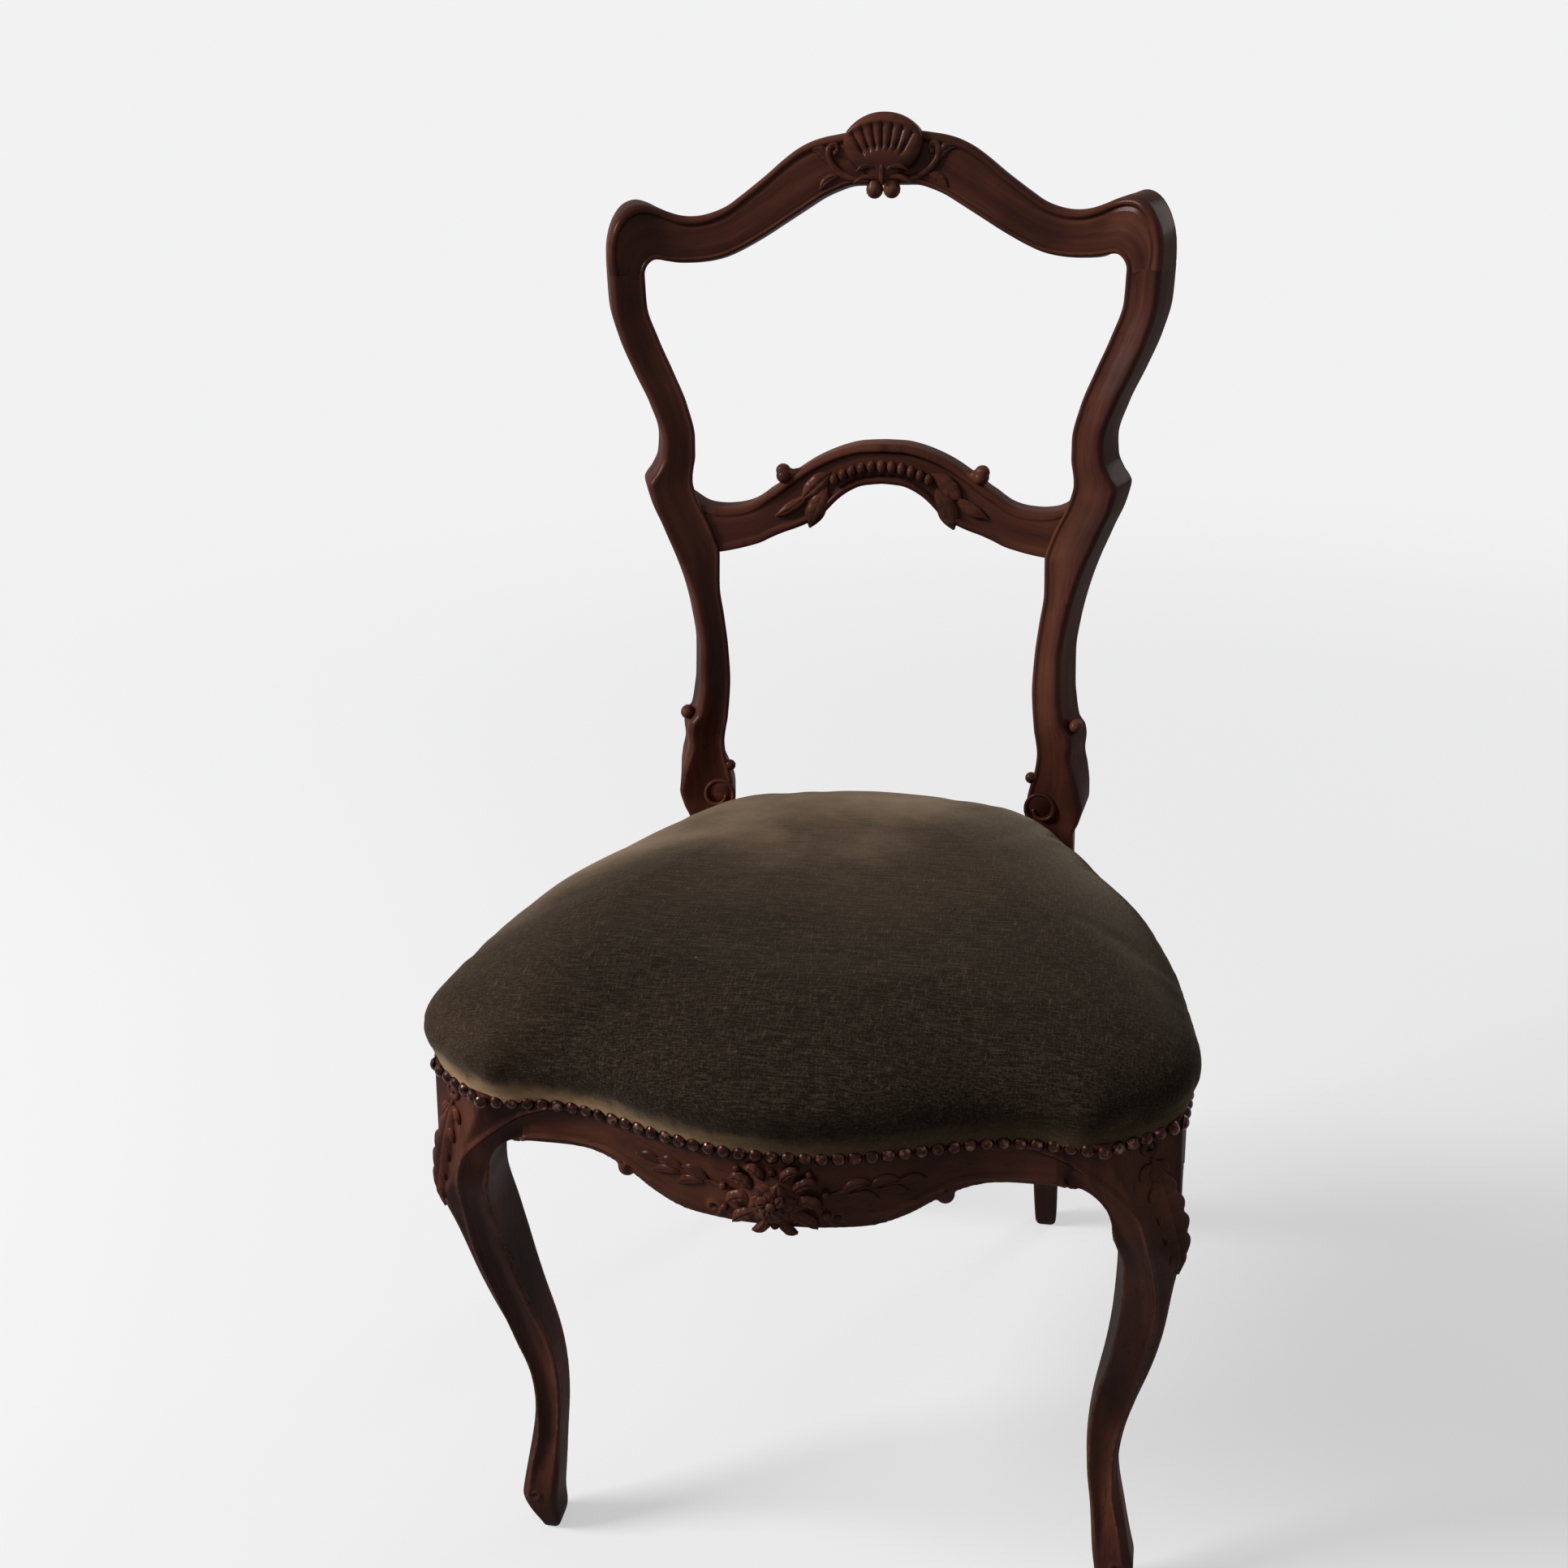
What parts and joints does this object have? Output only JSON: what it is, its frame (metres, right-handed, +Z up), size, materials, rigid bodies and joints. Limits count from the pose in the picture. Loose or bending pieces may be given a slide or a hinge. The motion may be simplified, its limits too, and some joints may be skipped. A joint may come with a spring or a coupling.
{
  "type": "carved wooden side chair with sprung velvet seat",
  "caption": "Louis XV revival side chair: carved dark wood, open back with a shell crest and a beaded mid rail, cabriole legs, domed olive velvet seat and bronze dome nails.",
  "frame": {"origin": "on the floor, midway between the sides and midway between front and back", "axes": "+Z up, the sitter faces -Y, +X to the right as seen from the front"},
  "size_m": [0.49, 0.5374, 0.931],
  "materials": {
    "carved_wood": "satin polish",
    "frame_wood": "raw",
    "velvet": "pile",
    "stuffing": "fibre",
    "canvas": "woven",
    "webbing": "woven",
    "dust_cloth": "woven",
    "nail_brass": "antique bronze",
    "spring_steel": "drawn",
    "tack_steel": "blued"
  },
  "bodies": {
    "root": {"right_front_leg": "carved_wood", "left_front_leg": "carved_wood", "right_back_post": "carved_wood", "left_back_post": "carved_wood", "crest_rail": "carved_wood", "mid_rail": "carved_wood", "right_seat_rail": "carved_wood", "left_seat_rail": "carved_wood", "back_seat_rail": "carved_wood", "front_seat_rail": "carved_wood", "front_right_corner_block": "frame_wood", "front_left_corner_block": "frame_wood", "back_right_corner_block": "frame_wood", "back_left_corner_block": "frame_wood", "webbing_front_to_back": "webbing", "webbing_side_to_side": "webbing", "webbing_tacks": "tack_steel", "seat_spring_middle": "spring_steel", "seat_spring_front_left": "spring_steel", "seat_spring_front_right": "spring_steel", "seat_spring_back_left": "spring_steel", "seat_spring_back_right": "spring_steel", "spring_canvas": "canvas", "velvet_cover": "velvet", "seat_stuffing": "stuffing", "dust_cover": "dust_cloth", "dome_nails": "nail_brass"}
  },
  "joints": []
}
